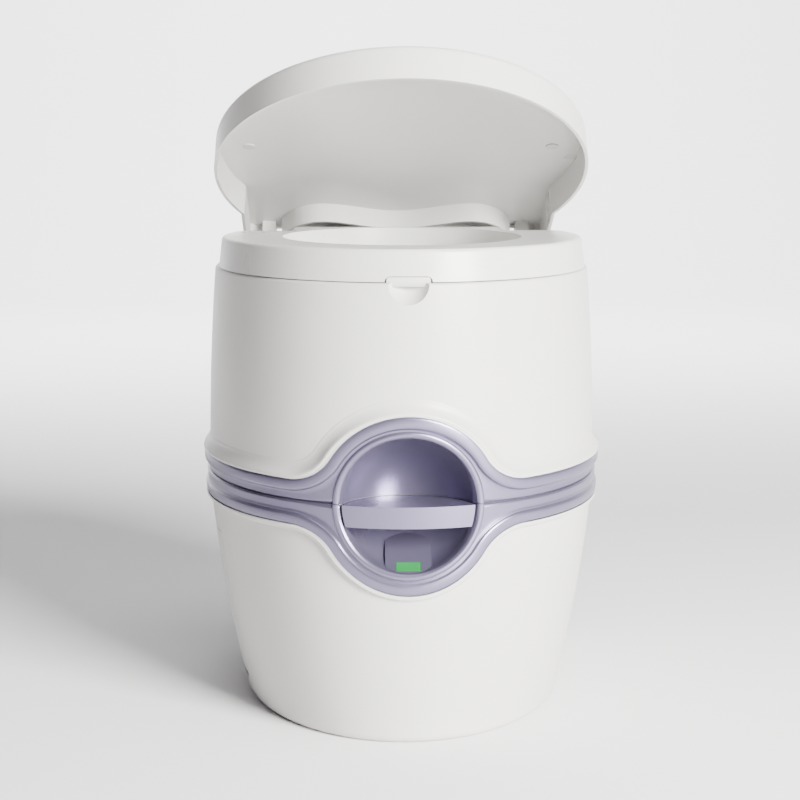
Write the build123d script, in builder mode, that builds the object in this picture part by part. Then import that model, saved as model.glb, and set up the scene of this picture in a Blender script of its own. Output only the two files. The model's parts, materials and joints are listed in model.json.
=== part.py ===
from build123d import *

import os

# A portable camp toilet in two sections. The waste section below is a holding tank closed by a
# pull-out slide valve. The flush section stands on it and carries the bowl, the seat and the lid.
# Millimetres, +Z up, front towards -Y, origin on the floor in the middle of the outline.

# ------------------------------------------------------------------ overall sizes
half_width = 193.4          # over the trim band's ridge
half_depth = 224.4          # over the trim band's ridge
widest_y = 20.0             # the plan is widest this far behind the middle
rear_narrowing = 22.0       # each flank draws in by this much towards the back
rear_corner = 62.0          # radius of the two rear corners

parting = 218.0             # height of the plane where the two sections meet
shoulder = 414.0            # top edge of the flush section
waist = 310.0               # height where the flush section starts to draw in
belly = 109.0               # height halfway up the holding tank
shoulder_inset = 7.0        # how far the shoulder is inside the parting line
waist_inset = 1.2
belly_inset = 14.0
foot_inset = 37.0
foot_reach_inset = 9.3      # the front slopes far less than the flanks
belly_reach_inset = 3.3
shoulder_reach_inset = 2.5

shell = 3.0                 # wall of the blow-moulded tanks
foot_round = 8.0            # round at the floor edge
shoulder_round = 3.0        # round at the shoulder edge

snap = 0.2                  # clearance of trim pressed into its seat
running = 0.06              # radial clearance of a pin or stem that turns or slides
rest_gap = 0.3              # space between pieces that move past each other

# ------------------------------------------------------------------ trim band and scoop
upper_ridge = 5.5           # how far the upper ridge stands out of the flush section
lower_ridge = 3.7           # the same on the holding tank
band_floor = 1.2            # the band's middle stands out by this much
band_seat = 1.8             # depth of the seat moulded for the band
band_low = 196.0            # lower edge of the level part of the band
band_high = 237.5           # upper edge of the level part of the band
disc_radius = 80.5          # the band swells to a disc round the scoop
disc_blend = 44.0           # concave round between the level part and the disc
ridge_width = 11.0          # width of the raised ridge along both edges
lip_width = 3.0             # white bead of the tank beside the band
lip_extra = 0.6             # the bead stands this much above the ridge

scoop_radius = 61.0         # opening of the round scoop
scoop_depth = 62.0          # how deep the scoop reaches behind the front
scoop_wall = 2.4
rim_width = 5.0             # bead round the scoop
rim_height = 1.6

# ------------------------------------------------------------------ slide valve
handle_height = 20.0        # thickness of the handle bar
handle_wall = 3.0
blade_thickness = 3.0
blade_half_width = 57.0
blade_rear = 45.0           # rear edge of the closed blade
outlet_radius = 49.0        # way through the valve
outlet_y = -16.0            # centre of bowl and valve
deck_drop = 22.0            # the tank's deck lies this far below the parting plane
rim_wall = 4.0              # upstand round the deck
housing_half_width = 68.0
housing_wall = 3.0
housing_rear = 62.0
seal_height = 2.4
seal_width = 5.0
screw_radius = 2.0
screw_head = 3.6
screw_head_height = 2.0
handle_boss_x = 25.0
handle_boss_y = -186.0
blade_front = -198.0        # inside the handle

# ------------------------------------------------------------------ bowl and deck
seat_hole_half_width = 114.5
seat_hole_half_length = 139.0
top_recess = 3.0            # the deck lies this far below the shoulder
shoulder_width = 9.0        # level ledge between shoulder edge and deck
bowl_wall = 3.0
bowl_flange = 7.0           # the bowl's rim rests on the deck by this much
throat_height = 16.0        # straight outlet of the bowl
bowl_waist = 325.0          # height where the bowl's side starts to draw in strongly
bowl_waist_width = 99.0
bowl_waist_length = 120.0
tank_floor = 4.0            # the flush tank's bottom lies this far above the parting plane

# ------------------------------------------------------------------ hinge, seat and lid
hinge_y = 205.0
hinge_z = 424.0
lid_angle = 24.5            # the lid stands this far open
lid_half_width = 181.0
lid_front = 217.0           # reach of the lid in front of the middle
lid_rear_reach = 218.0      # the oval behind the middle, before the neck cuts it
neck_half_width = 160.0
neck_rear = 215.5
neck_corner = 12.0
lid_wall = 3.0
lid_top = 448.0             # closed height of the toilet
lid_draft = 1.6             # the skirt leans in by this much up to its top edge
lid_round = 6.0
seat_gap = 0.8              # the seat's underside clears the shoulder by this much
seat_thickness = 28.5
seat_inset = 4.7            # inside the lid's outline, at the underside
seat_draft = 3.2            # leaning in of the seat's side
seat_round = 4.0
seat_wall = 3.0
seat_shoulder_y = 82.0      # the seat's full width ends here
seat_tongue_half_width = 116.0
seat_rear = 146.0
notch_half_width = 21.0     # finger notch at the front
notch_depth = 20.0
notch_lift = 5.0            # cut-out in the seat above the notch
notch_inward = 13.0

pin_radius = 3.5
knuckle_radius = 6.5
seat_knuckle = (103.0, 115.0)   # from and to along the hinge line, on each side
post_span = (119.0, 127.0)
lid_knuckle = (128.0, 142.0)
pin_head_radius = 6.0
pin_head_length = 3.0

rib_height = 20.0           # wavy wall under the lid, round the fittings
rib_thickness = 3.0
rib_half_width = 120.0
rib_middle_y = 171.0
rib_crest_y = 151.0
rib_end_y = 192.0
seat_bumper_radius = 6.0
lid_pad_height = 1.2
bumper_side = (148.0, 0.0)      # x and y of the pads beside the seat hole
bumper_front = (91.0, -139.0)   # x and y of the pads in front

# ------------------------------------------------------------------ fittings on the rear deck
fitting_x = 78.0
fitting_y = 178.5
pump_knob_radius = 21.0
pump_knob_wall = 3.0
pump_knob_skirt = 5.0
pump_knob_top = 22.0        # above the shoulder
pump_travel = 15.0
pump_stem_radius = 5.0
pump_barrel_radius = 17.0
pump_barrel_wall = 2.5
pump_barrel_length = 96.0
piston_height = 12.0
spring_wire = 1.0
spring_radius = 9.0
spring_turns = 3
neck_radius = 17.0          # filler neck, inside
neck_wall = 2.5
neck_height = 9.0
cap_radius = 22.0
cap_height = 12.0
cap_wall = 2.5
nozzle_radius = 5.0
nozzle_length = 16.0
nozzle_y = 112.0
nozzle_z = 396.0
tube_radius = 4.0
tube_low = 330.0

# ------------------------------------------------------------------ pour-out spout and vent
spout_x = -118.0
spout_y = 150.0
spout_radius = 20.0
spout_wall = 2.5
spout_axis_rise = 27.0      # the spout's level pipe lies this far above the parting plane
spout_bend = 22.0
spout_reach = 118.0         # from the turning axis to the mouth
collar_radius = 26.5
collar_rise = 16.0          # the tank's neck stands up from the deck
cap_grip = 18.0             # length of the spout's cap
cap_skin = 2.0
cap_seal_thickness = 1.5
cap_travel = 20.0           # the cap pulls off by this much inside its bay
bay_clearance = 5.0         # space round the spout in its bay
vent_x = 122.0
vent_y = 135.0
vent_radius = 9.0
vent_boss_radius = 14.0
vent_boss_height = 12.0
vent_button_height = 10.0
vent_travel = 3.0
vent_stand = 4.0            # the button stands out of its boss

# ------------------------------------------------------------------ level float and indicator
panel_half_width = 20.5
panel_top = (-173.0, 184.0)     # y and z of the panel's upper edge
panel_foot = (-218.0, 157.5)
window_half_width = 11.0
window_length = 12.0
window_shift = 17.0         # the window lies this far down the panel from its middle
well_half_width = 13.0
well_rear = 2.0             # rear wall of the well, before the panel's middle
well_depth = 27.0
well_wall = 2.0
float_pin_y = -190.0
float_pin_z = 148.0
float_pin_radius = 2.0
float_radius = 14.0
float_half_length = 24.0
float_y = -104.0
float_z = 136.0
arm_half_width = 4.0
flag_half_width = 8.0
flag_low = -16.5            # front edge, down the panel from its middle
flag_length = 8.5
flag_thickness = 1.5
flag_top = -4.0             # below the panel's face

# ------------------------------------------------------------------ roll holder
door_front = -55.0
door_rear = 91.0
door_low = 21.0
door_high = 163.0
door_gap = 1.0
door_ledge = 4.0
door_foot_gap = 3.5         # the door's lower edge swings inwards here
bay_foot = 2.5              # the bay reaches this far below the opening
bay_inner_x = -72.0
roll_pin_x = -150.5
roll_pin_z = 30.0
roll_pin_radius = 3.0
roll_pin_bury = 2.0         # into the bay's rear end wall
door_pull_x = -191.0        # centre of the finger pull in the door's top edge
lug_thickness = 5.0
lug_front = 0.0             # the front hinge lug starts here, where the wall runs straight
boss_thickness = 8.0
boss_radius = 5.0
boss_web_inset = 2.0        # the boss's foot stands this far inside the pin, clear of the door
lug_radius = 5.5
spindle_x = -118.0
spindle_z = 92.0
spindle_radius = 9.0
pull_half_width = 22.0
pull_depth = 9.0

# ------------------------------------------------------------------ tank latch
latch_x = 80.0
latch_half_width = 20.0
latch_thickness = 3.2
latch_pin_z = 252.0
latch_pin_radius = 1.6
latch_barrel = 2.5
latch_low = 200.0
latch_hook = 4.0
catch_height = 3.0
ear_width = 4.0
latch_frame = 6.0
catch_low = 206.0

# ------------------------------------------------------------------ values that follow
flush_levels = [
    (parting, half_width - upper_ridge, half_depth - upper_ridge),
    (waist, half_width - upper_ridge - waist_inset, half_depth - upper_ridge),
    (shoulder, half_width - upper_ridge - shoulder_inset, half_depth - upper_ridge - shoulder_reach_inset),
]
waste_levels = [
    (0, half_width - lower_ridge - foot_inset, half_depth - lower_ridge - foot_reach_inset),
    (belly, half_width - lower_ridge - belly_inset, half_depth - lower_ridge - belly_reach_inset),
    (parting, half_width - lower_ridge, half_depth - lower_ridge),
]
deck = parting - deck_drop                  # top of the holding tank
flush_floor = parting + tank_floor          # underside of the flush tank
flush_deck = shoulder - top_recess          # deck round the bowl and the fittings
scoop_centre = half_depth - 1.0             # the scoop is turned about this far in front
handle_low = parting - handle_height
blade_low = deck + housing_wall + seal_height
blade_high = blade_low + blade_thickness
housing_front = scoop_depth - scoop_centre + rim_width
housing_top = parting - seal_height
spout_axis = parting + spout_axis_rise
seat_low = shoulder + seat_gap
seat_high = seat_low + seat_thickness
lid_rim = shoulder + 2 * rest_gap
plate_under = lid_top - lid_wall
far = 2 * half_depth                        # larger than the whole part
catch_reach = half_depth - latch_barrel
seat_bumper_top = seat_low + seat_wall
bumper_places = [(side * x, y) for side in (-1, 1) for x, y in (bumper_side, bumper_front)]
screw_x = housing_half_width - screw_head - rest_gap
screw_rows = (housing_front + 2 * screw_head, outlet_y - outlet_radius, outlet_y + outlet_radius,
              housing_rear - screw_head - rest_gap)
screw_places = [(side * screw_x, y) for side in (-1, 1) for y in screw_rows]


# ------------------------------------------------------------------ shared shapes
def plan_outline(level, wide, reach, grow=0.0):
    """Plan of the body at one height: half an ellipse in front, easing flanks, a rounded back."""
    wide = wide + grow
    reach = reach + grow
    with BuildSketch(Plane.XY.offset(level)) as outline:
        with BuildLine():
            EllipticalCenterArc((0, widest_y), wide, reach + widest_y, start_angle=180, arc_size=180)
            right = TangentArc((wide, widest_y), (wide - rear_narrowing, reach), tangent=(0, 1))
            left = TangentArc((-wide, widest_y), (rear_narrowing - wide, reach), tangent=(0, 1))
            Line(right @ 1, left @ 1)
        make_face()
        fillet(outline.vertices().group_by(Axis.Y)[-1], rear_corner + grow)
    return outline.sketch


def body_block(levels, grow=0.0):
    """Solid through a section's outlines, each grown by the same amount."""
    with BuildPart() as block:
        loft(sections=[plan_outline(*level, grow) for level in levels])
    return block.part


def band_prism(grow=0.0):
    """The band's outline seen from the front, cut through the whole body from front to back."""
    middle = (band_low + band_high) / 2
    height = band_high - band_low + 2 * grow
    radius = disc_radius + grow
    with BuildPart() as prism:
        with BuildSketch(Plane.XZ.offset(widest_y)) as front:
            with Locations((0, middle)):
                Rectangle(2 * far, height)
            with Locations((0, parting)):
                Circle(radius)
            corners = [v for v in front.vertices() if radius / 2 < abs(v.X) < 2 * radius]
            fillet(corners, disc_blend - grow)
        extrude(amount=far)
        with BuildSketch(Plane.XZ.offset(widest_y)):
            with Locations((0, middle)):
                Rectangle(2 * far, height)
        extrude(amount=-far)
    return prism.part


def scoop_body(grow=0.0):
    """Solid of the round scoop: half an ellipse turned about a level axis through the front."""
    with BuildPart() as body:
        with BuildSketch(Plane.XY.offset(parting)):
            with Locations((0, -scoop_centre)):
                Ellipse(scoop_radius + grow, scoop_depth + grow)
            with Locations((-far / 2, -scoop_centre)):
                Rectangle(far, far, mode=Mode.SUBTRACT)
        revolve(axis=Axis((0, 0, parting), (0, 1, 0)))
    return body.part


def box_between(x, y, z):
    """Block from three (low, high) pairs."""
    with BuildPart() as block:
        with BuildSketch(Plane.XY.offset(z[0])):
            with Locations(((x[0] + x[1]) / 2, (y[0] + y[1]) / 2)):
                Rectangle(x[1] - x[0], y[1] - y[0])
        extrude(amount=z[1] - z[0])
    return block.part


def slab(low, high):
    """Everything between two heights."""
    return box_between((-far, far), (-far, far), (low, high))


def post(x, y, low, high, radius, bore=0.0):
    """Upright cylinder, with a bore where one is given."""
    with BuildPart() as column:
        with BuildSketch(Plane.XY.offset(low)):
            with Locations((x, y)):
                Circle(radius)
                if bore:
                    Circle(bore, mode=Mode.SUBTRACT)
        extrude(amount=high - low)
    return column.part


def rod(axis_y, axis_z, x_from, x_to, radius, bore=0.0):
    """Level cylinder along X."""
    with BuildPart() as bar:
        with BuildSketch(Plane.YZ.offset(x_from)):
            with Locations((axis_y, axis_z)):
                Circle(radius)
                if bore:
                    Circle(bore, mode=Mode.SUBTRACT)
        extrude(amount=x_to - x_from)
    return bar.part


def rod_y(axis_x, axis_z, y_from, y_to, radius):
    """Level cylinder along Y."""
    with BuildPart() as bar:
        with BuildSketch(Plane.XZ.offset(-y_to)):
            with Locations((axis_x, axis_z)):
                Circle(radius)
        extrude(amount=y_to - y_from)
    return bar.part


def both_sides(span):
    """The (from, to) span on the right and on the left of the middle."""
    return [(span[0], span[1]), (-span[1], -span[0])]


def write(piece, name):
    piece.label = name
    export_step(piece, f"parts/{name}.step")


os.makedirs("parts", exist_ok=True)

upper_block = body_block(flush_levels)
lower_block = body_block(waste_levels)
band = band_prism()
band_piece = band_prism(-snap)
band_inner = band_prism(-ridge_width)
band_lip = band_prism(lip_width)
above_parting = slab(parting, far)
below_parting = slab(-far, parting)

# room for the spout behind the flush section
bay_x = (spout_x - collar_radius - bay_clearance, spout_x + spout_reach + cap_travel + bay_clearance)
bay_y = (spout_y - collar_radius - bay_clearance, far)
bay_z = (parting - rest_gap, spout_axis + spout_radius + cap_skin + bay_clearance)
spout_bay = box_between(bay_x, bay_y, bay_z)
spout_bay_wall = box_between(
    (bay_x[0] - shell, bay_x[1] + shell), (bay_y[0] - shell, far), (bay_z[0], bay_z[1] + shell)
)

# room for the latch across the band at the back
latch_span = (latch_x - latch_half_width, latch_x + latch_half_width)
latch_room = box_between(
    (latch_span[0] - ear_width - rest_gap, latch_span[1] + ear_width + rest_gap),
    (half_depth - upper_ridge, far),
    (latch_low - latch_hook - 2 * rest_gap, latch_pin_z + latch_barrel + latch_hook),
)


def band_parts(levels, ridge, half):
    """Bead, seat and trim of one section: the pieces that share the band's outline."""
    with BuildPart() as bead:
        add(body_block(levels, ridge + lip_extra))
        add(band_lip, mode=Mode.INTERSECT)
        add(band, mode=Mode.SUBTRACT)
        add(half, mode=Mode.INTERSECT)
    with BuildPart() as seat:
        add(band)
        add(half, mode=Mode.INTERSECT)
        add(body_block(levels, -band_seat), mode=Mode.SUBTRACT)
    with BuildPart() as rim:
        with BuildSketch(Plane.XZ):
            with Locations((0, parting)):
                Circle(scoop_radius + rim_width)
        extrude(amount=far)
        add(body_block(levels, band_floor + rim_height), mode=Mode.INTERSECT)
    with BuildPart() as trim:
        add(body_block(levels, ridge))
        add(band_inner, mode=Mode.SUBTRACT)
        add(body_block(levels, band_floor))
        add(rim.part)
        add(band_piece, mode=Mode.INTERSECT)
        add(body_block(levels, snap - band_seat), mode=Mode.SUBTRACT)
    with BuildPart() as cup:
        add(scoop_body(scoop_wall))
        add(body_block(levels, band_floor), mode=Mode.INTERSECT)
    with BuildPart() as moulding:
        add(trim.part)
        add(cup.part)
        add(half, mode=Mode.INTERSECT)
        add(scoop_body(), mode=Mode.SUBTRACT)
        add(latch_room, mode=Mode.SUBTRACT)
    return bead.part, seat.part, moulding.part


upper_bead, upper_seat, upper_moulding = band_parts(flush_levels, upper_ridge, above_parting)
lower_bead, lower_seat, lower_moulding = band_parts(waste_levels, lower_ridge, below_parting)

# ------------------------------------------------------------------ flush tank
def finger_notch(grow=0.0):
    """Hollow at the front edge where fingers reach under the seat."""
    with BuildPart() as hollow:
        with Locations((0, notch_inward - notch_depth - lid_front, shoulder)):
            Sphere(notch_depth + grow)
    return hollow.part


with BuildPart() as flush_cavity:
    add(body_block(flush_levels, -shell))
    add(slab(flush_floor + shell, flush_deck - shell), mode=Mode.INTERSECT)
    add(scoop_body(scoop_wall + snap + shell), mode=Mode.SUBTRACT)
    add(finger_notch(shell), mode=Mode.SUBTRACT)
    add(spout_bay_wall, mode=Mode.SUBTRACT)

with BuildPart() as deck_recess:
    add(body_block(flush_levels, -shoulder_width))
    add(slab(flush_deck, far), mode=Mode.INTERSECT)
    add(box_between((-neck_half_width - rest_gap, neck_half_width + rest_gap), (0, far), (flush_deck, far)))

with BuildPart() as flush_underside:
    add(body_block(flush_levels, -rim_wall))
    add(slab(0, flush_floor), mode=Mode.INTERSECT)

with BuildPart() as flush_tank:
    add(upper_block)
    fillet(flush_tank.faces().sort_by(Axis.Z)[-1].edges(), shoulder_round)
    add(upper_bead)
    add(upper_seat, mode=Mode.SUBTRACT)
    add(flush_cavity.part, mode=Mode.SUBTRACT)
    add(flush_underside.part, mode=Mode.SUBTRACT)
    add(deck_recess.part, mode=Mode.SUBTRACT)
    add(scoop_body(scoop_wall + snap), mode=Mode.SUBTRACT)
    add(spout_bay, mode=Mode.SUBTRACT)
    add(latch_room, mode=Mode.SUBTRACT)
    add(finger_notch(), mode=Mode.SUBTRACT)
    with BuildSketch(Plane.XY.offset(flush_deck)):
        with Locations((0, outlet_y)):
            Ellipse(seat_hole_half_width + bowl_wall + snap, seat_hole_half_length + bowl_wall + snap)
    extrude(amount=-2 * shell, mode=Mode.SUBTRACT)
    with BuildSketch(Plane.XY.offset(flush_floor)):
        with Locations((0, outlet_y)):
            Circle(outlet_radius + bowl_wall + snap)
    extrude(amount=2 * shell, mode=Mode.SUBTRACT)
    with BuildSketch(Plane.XY.offset(flush_deck)):
        with Locations((-fitting_x, fitting_y)):
            Circle(pump_barrel_radius + snap)
        with Locations((fitting_x, fitting_y)):
            Circle(neck_radius + neck_wall + snap)
    extrude(amount=-2 * shell, mode=Mode.SUBTRACT)
write(flush_tank.part, "flush_tank")

with BuildPart() as upper_band:
    add(upper_moulding)
    add(spout_bay, mode=Mode.SUBTRACT)
write(upper_band.part, "upper_band")

# ------------------------------------------------------------------ holding tank
collar_top = deck + collar_rise
vent_boss_top = deck + vent_boss_height
pad_thickness = 8.0

door_box = box_between((-far, 0), (door_front, door_rear), (door_low, door_high))
roll_bay = box_between(
    (-far, bay_inner_x),
    (door_front + door_ledge, door_rear - door_ledge),
    (door_low - bay_foot, door_high - door_ledge),
)
door_swing_room = box_between(
    (-far, roll_pin_x + 2 * lug_radius),
    (door_front, door_rear),
    (door_low - bay_foot, roll_pin_z + lug_radius),
)
roll_bay_wall = box_between(
    (-far, bay_inner_x + shell),
    (door_front - shell, door_rear + shell),
    (door_low - bay_foot - shell, door_high + shell),
)
well_plane = Plane(
    origin=(0, (panel_top[0] + panel_foot[0]) / 2, (panel_top[1] + panel_foot[1]) / 2),
    x_dir=(1, 0, 0),
    z_dir=(0, panel_foot[1] - panel_top[1], panel_top[0] - panel_foot[0]),
)
window_low = -window_shift - window_length / 2
window_high = -window_shift + window_length / 2


def well_box(half, low, high, foot, top):
    """Block in the sloping frame of the indicator panel."""
    with BuildPart() as block:
        with BuildSketch(well_plane.offset(foot)):
            with Locations((0, (low + high) / 2)):
                Rectangle(2 * half, high - low)
        extrude(amount=top - foot)
    return block.part


well_low = window_low - well_wall
well_cut = well_box(well_half_width + snap, well_low - snap, snap - well_rear, -far / 8, far / 8)

with BuildPart() as blade_slot:
    with BuildSketch(Plane.XY.offset(blade_low - snap)):
        with Locations((0, (blade_rear + snap - far) / 2)):
            Rectangle(2 * (blade_half_width + snap), blade_rear + snap + far)
    extrude(amount=blade_thickness + 2 * snap)

with BuildPart() as housing_room:
    with BuildSketch(Plane.XY.offset(deck)):
        with Locations((0, (housing_front + housing_rear) / 2)):
            Rectangle(2 * (housing_half_width + snap), housing_rear - housing_front + 2 * snap)
    extrude(amount=deck_drop)

with BuildPart() as waste_cavity:
    add(body_block(waste_levels, -shell))
    add(slab(shell, deck - shell), mode=Mode.INTERSECT)
    add(scoop_body(scoop_wall + snap + shell), mode=Mode.SUBTRACT)
    add(roll_bay_wall, mode=Mode.SUBTRACT)
    add(box_between((-housing_half_width, housing_half_width), (housing_front, housing_rear),
                    (deck - pad_thickness, deck)), mode=Mode.SUBTRACT)

with BuildPart() as waste_deck_room:
    add(body_block(waste_levels, -rim_wall))
    add(slab(deck, far), mode=Mode.INTERSECT)
    add(scoop_body(scoop_wall + snap + shell), mode=Mode.SUBTRACT)
    add(housing_room.part)
    add(post(spout_x, spout_y, deck, collar_top, collar_radius), mode=Mode.SUBTRACT)
    add(post(vent_x, vent_y, deck, vent_boss_top, vent_boss_radius), mode=Mode.SUBTRACT)

# bar through the tank's rim that the latch hooks over
catch_bar = box_between(
    (latch_span[0] + latch_frame, latch_span[1] - latch_frame),
    (half_depth - 2 * upper_ridge, catch_reach),
    (catch_low, catch_low + catch_height),
)
roll_boss = (lug_front - rest_gap - boss_thickness, lug_front - rest_gap)

with BuildPart() as door_seat:
    add(door_box)
    add(body_block(waste_levels, -shell - rest_gap), mode=Mode.SUBTRACT)

with BuildPart() as waste_tank:
    add(lower_block)
    fillet(waste_tank.faces().sort_by(Axis.Z)[0].edges(), foot_round)
    add(lower_bead)
    add(lower_seat, mode=Mode.SUBTRACT)
    add(waste_cavity.part, mode=Mode.SUBTRACT)
    add(waste_deck_room.part, mode=Mode.SUBTRACT)
    add(scoop_body(scoop_wall + snap), mode=Mode.SUBTRACT)
    add(blade_slot.part, mode=Mode.SUBTRACT)
    add(well_cut, mode=Mode.SUBTRACT)
    add(latch_room, mode=Mode.SUBTRACT)
    add(post(0, outlet_y, deck - 2 * pad_thickness, deck, outlet_radius), mode=Mode.SUBTRACT)
    add(post(spout_x, spout_y, 0.9 * deck, collar_top, spout_radius + running), mode=Mode.SUBTRACT)
    add(post(spout_x, spout_y, deck + collar_rise / 2, deck + collar_rise / 2 + seal_height,
             spout_radius + seal_height + rest_gap), mode=Mode.SUBTRACT)
    add(post(vent_x, vent_y, deck, vent_boss_top, vent_radius + running), mode=Mode.SUBTRACT)
    add(post(vent_x, vent_y, 0.9 * deck, deck, vent_radius / 2), mode=Mode.SUBTRACT)
    add(roll_bay, mode=Mode.SUBTRACT)
    add(door_swing_room, mode=Mode.SUBTRACT)
    add(rod_y(roll_pin_x, roll_pin_z, roll_boss[0], roll_boss[1], boss_radius))
    add(box_between((roll_pin_x + boss_web_inset, roll_pin_x + boss_radius), roll_boss,
                    (door_low - bay_foot - shell, roll_pin_z)))
    add(door_seat.part, mode=Mode.SUBTRACT)
    for y in (roll_boss[1], door_rear):
        add(rod_y(roll_pin_x, roll_pin_z, y - 2 * roll_pin_bury, y + roll_pin_bury, roll_pin_radius + snap),
            mode=Mode.SUBTRACT)
    add(catch_bar, mode=Mode.SUBTRACT)
write(waste_tank.part, "waste_tank")
write(catch_bar, "latch_catch")

with BuildPart() as lower_band:
    add(lower_moulding)
    add(blade_slot.part, mode=Mode.SUBTRACT)
    add(well_cut, mode=Mode.SUBTRACT)
    add(catch_bar, mode=Mode.SUBTRACT)
write(lower_band.part, "lower_band")

# ------------------------------------------------------------------ slide valve
hole_ring = (outlet_radius, outlet_radius + seal_width)

with BuildPart() as valve_housing:
    with BuildSketch(Plane.XY.offset(deck)):
        with Locations((0, (housing_front + housing_rear) / 2)):
            RectangleRounded(2 * housing_half_width, housing_rear - housing_front, seal_width)
    extrude(amount=blade_high + housing_wall - deck)
    add(post(0, outlet_y, deck, housing_top, outlet_radius + seal_width))
    add(post(0, outlet_y, deck, housing_top, outlet_radius), mode=Mode.SUBTRACT)
    add(blade_slot.part, mode=Mode.SUBTRACT)
    add(post(0, outlet_y, deck + housing_wall, blade_low, outlet_radius + seal_width), mode=Mode.SUBTRACT)
    with BuildSketch(Plane.XY.offset(deck)):
        with Locations(*screw_places):
            Circle(screw_radius)
    extrude(amount=far, mode=Mode.SUBTRACT)
write(valve_housing.part, "valve_housing")
write(post(0, outlet_y, housing_top, parting, hole_ring[1], hole_ring[0]), "lip_seal")
write(post(0, outlet_y, deck + housing_wall, blade_low, hole_ring[1], hole_ring[0]), "blade_seal")

with BuildPart() as housing_screws:
    with BuildSketch(Plane.XY.offset(deck)):
        with Locations(*screw_places):
            Circle(screw_radius)
    extrude(amount=blade_high + housing_wall + screw_head_height - deck)
    with BuildSketch(Plane.XY.offset(blade_high + housing_wall)):
        with Locations(*screw_places):
            Circle(screw_head)
    extrude(amount=screw_head_height)
write(housing_screws.part, "housing_screws")

with BuildPart() as valve_blade:
    with BuildSketch(Plane.XY.offset(blade_low)):
        with Locations((0, (blade_front + blade_rear) / 2)):
            Rectangle(2 * blade_half_width, blade_rear - blade_front)
        with Locations((-handle_boss_x, handle_boss_y), (handle_boss_x, handle_boss_y)):
            Circle(screw_radius, mode=Mode.SUBTRACT)
    extrude(amount=blade_thickness)
    front_corners = valve_blade.edges().filter_by(Axis.Z).group_by(Axis.Y)[-1]
    fillet(front_corners, seal_width)
write(valve_blade.part, "valve_blade")

with BuildPart() as handle_bosses:
    with BuildSketch(Plane.XY.offset(blade_high)):
        with Locations((-handle_boss_x, handle_boss_y), (handle_boss_x, handle_boss_y)):
            Circle(2 * screw_head)
    extrude(amount=parting - handle_wall - blade_high)

with BuildPart() as valve_handle:
    add(scoop_body(-2 * rest_gap))
    add(body_block(waste_levels, band_floor), mode=Mode.INTERSECT)
    add(slab(handle_low + rest_gap, parting - rest_gap), mode=Mode.INTERSECT)
with BuildPart() as handle_hollow:
    add(scoop_body(-2 * rest_gap - handle_wall))
    add(body_block(waste_levels, band_floor - handle_wall), mode=Mode.INTERSECT)
    add(slab(0, parting - rest_gap - handle_wall), mode=Mode.INTERSECT)
    add(handle_bosses.part, mode=Mode.SUBTRACT)
with BuildPart() as handle_shell:
    add(valve_handle.part)
    add(handle_hollow.part, mode=Mode.SUBTRACT)
    add(box_between((-far, far), (blade_front, far), (0, blade_high)), mode=Mode.SUBTRACT)
    with BuildSketch(Plane.XY.offset(blade_high)):
        with Locations((-handle_boss_x, handle_boss_y), (handle_boss_x, handle_boss_y)):
            Circle(screw_radius)
    extrude(amount=screw_head, mode=Mode.SUBTRACT)
write(handle_shell.part, "valve_handle")

with BuildPart() as handle_screws:
    with BuildSketch(Plane.XY.offset(blade_low - screw_head_height)):
        with Locations((-handle_boss_x, handle_boss_y), (handle_boss_x, handle_boss_y)):
            Circle(screw_head)
    extrude(amount=screw_head_height)
    with BuildSketch(Plane.XY.offset(blade_low)):
        with Locations((-handle_boss_x, handle_boss_y), (handle_boss_x, handle_boss_y)):
            Circle(screw_radius)
    extrude(amount=blade_thickness + screw_head)
write(handle_screws.part, "handle_screws")

# ------------------------------------------------------------------ bowl
def bowl_form(grow):
    """Bowl from the deck down to its straight outlet."""
    with BuildPart() as form:
        with BuildSketch(Plane.XY.offset(shoulder)):
            with Locations((0, outlet_y)):
                Ellipse(seat_hole_half_width + grow, seat_hole_half_length + grow)
        with BuildSketch(Plane.XY.offset(bowl_waist)):
            with Locations((0, outlet_y)):
                Ellipse(bowl_waist_width + grow, bowl_waist_length + grow)
        with BuildSketch(Plane.XY.offset(parting + throat_height)):
            with Locations((0, outlet_y)):
                Ellipse(outlet_radius + grow, outlet_radius + grow)
        loft()
        add(post(0, outlet_y, parting, parting + throat_height, outlet_radius + grow))
    return form.part


with BuildPart() as bowl:
    add(bowl_form(bowl_wall))
    with BuildSketch(Plane.XY.offset(flush_deck)):
        with Locations((0, outlet_y)):
            Ellipse(seat_hole_half_width + bowl_wall + bowl_flange,
                    seat_hole_half_length + bowl_wall + bowl_flange)
    extrude(amount=shoulder - flush_deck)
    add(bowl_form(0), mode=Mode.SUBTRACT)
    add(rod_y(0, nozzle_z, outlet_y, far, nozzle_radius + snap), mode=Mode.SUBTRACT)
write(bowl.part, "bowl")

with BuildPart() as flush_nozzle:
    add(rod_y(0, nozzle_z, nozzle_y, nozzle_y + nozzle_length, nozzle_radius))
    add(rod_y(0, nozzle_z, nozzle_y, nozzle_y + nozzle_length, nozzle_radius / 2), mode=Mode.SUBTRACT)
write(flush_nozzle.part, "flush_nozzle")

with BuildPart() as feed_tube:
    with BuildLine():
        Spline(
            (pump_barrel_radius - fitting_x, fitting_y, tube_low),
            (0, nozzle_y + nozzle_length, nozzle_z),
            tangents=((1, 0, 0), (0, -1, 0)),
        )
    with BuildSketch(Plane.YZ.offset(pump_barrel_radius - fitting_x)):
        with Locations((fitting_y, tube_low)):
            Circle(tube_radius)
    sweep()
write(feed_tube.part, "feed_tube")

# ------------------------------------------------------------------ seat, lid and their hinge
hinge_axis = Axis((0, hinge_y, hinge_z), (-1, 0, 0))


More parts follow.
